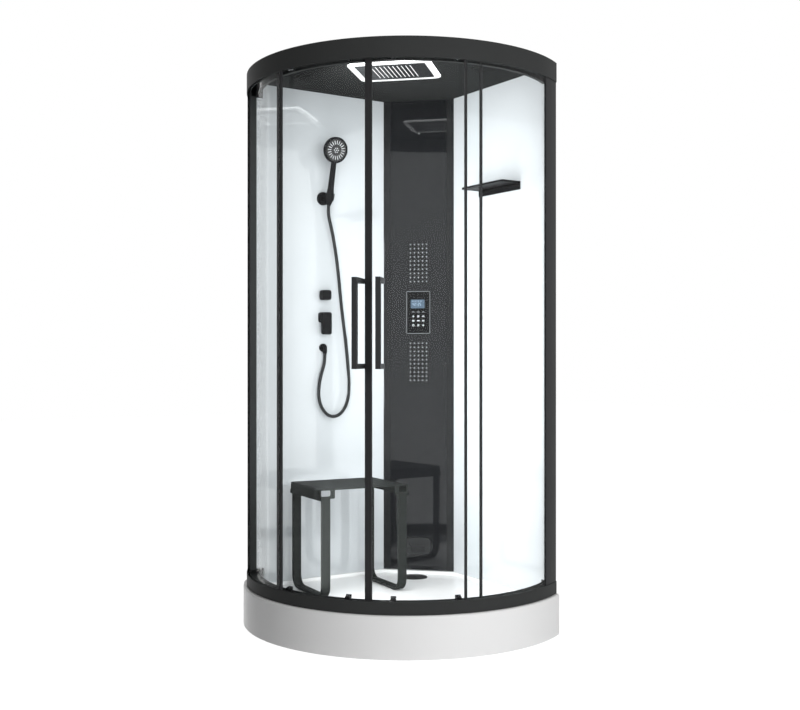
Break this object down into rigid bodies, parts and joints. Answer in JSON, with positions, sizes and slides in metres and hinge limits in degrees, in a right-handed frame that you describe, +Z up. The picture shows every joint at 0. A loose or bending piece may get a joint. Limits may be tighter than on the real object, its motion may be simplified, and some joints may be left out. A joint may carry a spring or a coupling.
{
  "type": "steam shower cabin",
  "caption": "Quadrant corner steam shower cabin: curved glass front with sliding doors, low tray, white walls, black control column, lit ceiling, hand shower and stool.",
  "frame": {"origin": "centre of the square footprint, on the floor; the room's corner is at -X +Y", "axes": "+Z up; the left wall lies in -X and runs along Y, the back wall lies in +Y and runs along X; the doorway faces +X -Y"},
  "size_m": [0.9999, 0.9999, 2.226],
  "materials": {
    "tray_white": "gloss",
    "panel_white": "gloss",
    "black_profile": "satin",
    "clear_glass": "clear",
    "black_glass": "gloss",
    "black_plastic": "satin",
    "black_fitting": "matt",
    "black_hose": "satin",
    "led_white": "glowing",
    "display_blue": "lit",
    "steel": "brushed",
    "bolt_steel": "polished",
    "galvanised": "matt",
    "grey_pipe": "satin",
    "brass": "satin",
    "soft_rubber": "matt"
  },
  "bodies": {
    "cabin": {"shower_tray": "tray_white", "tray_frame": "galvanised", "adjustable_feet": "galvanised", "waste_trap": "grey_pipe", "bottom_rail": "black_profile", "top_rail": "black_profile", "roof_panel": "black_plastic", "left_wall": "panel_white", "right_wall": "panel_white", "wall_channels": "black_profile", "end_stiles": "black_profile", "fixed_stiles": "black_profile", "left_fixed_glass": "clear_glass", "right_fixed_glass": "clear_glass", "column_glass": "black_glass", "column_profiles": "black_profile", "column_frame": "galvanised", "control_panel": "black_glass", "control_display": "display_blue", "control_box": "black_plastic", "upper_jets": "grey_pipe", "lower_jets": "grey_pipe", "side_jets": "black_plastic", "steam_generator": "steel", "steam_pipe": "steel", "steam_outlet": "black_plastic", "led_frame": "led_white", "rain_plate": "black_plastic", "fan_cover": "black_plastic", "speaker_cover": "black_plastic", "fan_unit": "black_plastic", "speaker_unit": "black_plastic", "handset_holder": "black_fitting", "shower_hose": "black_hose", "outlet_elbow": "black_fitting", "mixer_valve": "black_fitting", "shelf": "black_fitting"},
    "diverter": {"diverter_knob": "black_fitting"},
    "mixer_cartridge": {"mixer_cartridge": "black_fitting"},
    "mixer_lever": {"mixer_lever": "black_fitting"},
    "handset": {"handset": "black_fitting", "handset_face": "black_plastic"},
    "stool": {"stool_seat": "black_profile", "stool_legs": "black_profile", "stool_pads": "soft_rubber"},
    "drain_cover": {"drain_cover": "black_fitting"},
    "left_door": {"left_door_glass": "clear_glass", "left_door_stile": "black_profile", "left_door_tail_stile": "black_profile", "left_door_hangers": "bolt_steel", "left_handle": "black_profile"},
    "left_inner_wheel": {"left_inner_wheel": "black_plastic"},
    "left_outer_wheel": {"left_outer_wheel": "black_plastic"},
    "right_door": {"right_door_glass": "clear_glass", "right_door_stile": "black_profile", "right_door_tail_stile": "black_profile", "right_door_hangers": "bolt_steel", "right_handle": "black_profile"},
    "right_inner_wheel": {"right_inner_wheel": "black_plastic"},
    "right_outer_wheel": {"right_outer_wheel": "black_plastic"}
  },
  "joints": [
    {"name": "left_door_slide", "type": "hinge", "parent": "cabin", "child": "left_door", "pos_m": [-0.158, 0.158, 1.15], "axis": [0, 0, 1], "range_deg": [-26, 0]},
    {"name": "left_inner_wheel_spin", "type": "hinge", "parent": "left_door", "child": "left_inner_wheel", "pos_m": [0.20059, -0.31442, 2.1443], "axis": [-0.6046, 0.7965, 0], "range_deg": [-1402.9, 0]},
    {"name": "left_outer_wheel_spin", "type": "hinge", "parent": "left_door", "child": "left_outer_wheel", "pos_m": [-0.03469, -0.42214, 2.1443], "axis": [-0.2079, 0.9781, 0], "range_deg": [-1402.9, 0]},
    {"name": "right_door_slide", "type": "hinge", "parent": "cabin", "child": "right_door", "pos_m": [-0.158, 0.158, 1.15], "axis": [0, 0, 1], "range_deg": [0, 26]},
    {"name": "right_inner_wheel_spin", "type": "hinge", "parent": "right_door", "child": "right_inner_wheel", "pos_m": [0.31442, -0.20059, 2.1443], "axis": [-0.7965, 0.6046, 0], "range_deg": [0, 1402.9]},
    {"name": "right_outer_wheel_spin", "type": "hinge", "parent": "right_door", "child": "right_outer_wheel", "pos_m": [0.41489, 0.00449, 2.1443], "axis": [-0.9659, 0.2588, 0], "range_deg": [0, 1402.9]},
    {"name": "diverter_turn", "type": "hinge", "parent": "cabin", "child": "diverter", "pos_m": [-0.445, -0.055, 1.3295], "axis": [1, 0, 0], "range_deg": [-90, 90]},
    {"name": "temperature_turn", "type": "hinge", "parent": "cabin", "child": "mixer_cartridge", "pos_m": [-0.4485, -0.055, 1.2355], "axis": [1, 0, 0], "range_deg": [-45, 45]},
    {"name": "flow_lift", "type": "hinge", "parent": "mixer_cartridge", "child": "mixer_lever", "pos_m": [-0.4419, -0.055, 1.254], "axis": [0, -1, 0], "range_deg": [0, 20]},
    {"name": "handset_lift", "type": "slide", "parent": "cabin", "child": "handset", "axis": [0.2419, 0, 0.9703], "range_m": [0, 0.06], "deforming": ["shower_hose"]},
    {"name": "stool_lift", "type": "slide", "parent": "cabin", "child": "stool", "axis": [0, 0, 1], "range_m": [0, 0.2]},
    {"name": "drain_cover_lift", "type": "slide", "parent": "cabin", "child": "drain_cover", "axis": [0, 0, 1], "range_m": [0, 0.03]}
  ],
  "couplings": [
    {"joint": "left_inner_wheel_spin", "follows": "left_door_slide", "ratio": 53.918},
    {"joint": "left_outer_wheel_spin", "follows": "left_door_slide", "ratio": 53.918},
    {"joint": "right_inner_wheel_spin", "follows": "right_door_slide", "ratio": 53.918},
    {"joint": "right_outer_wheel_spin", "follows": "right_door_slide", "ratio": 53.918}
  ]
}
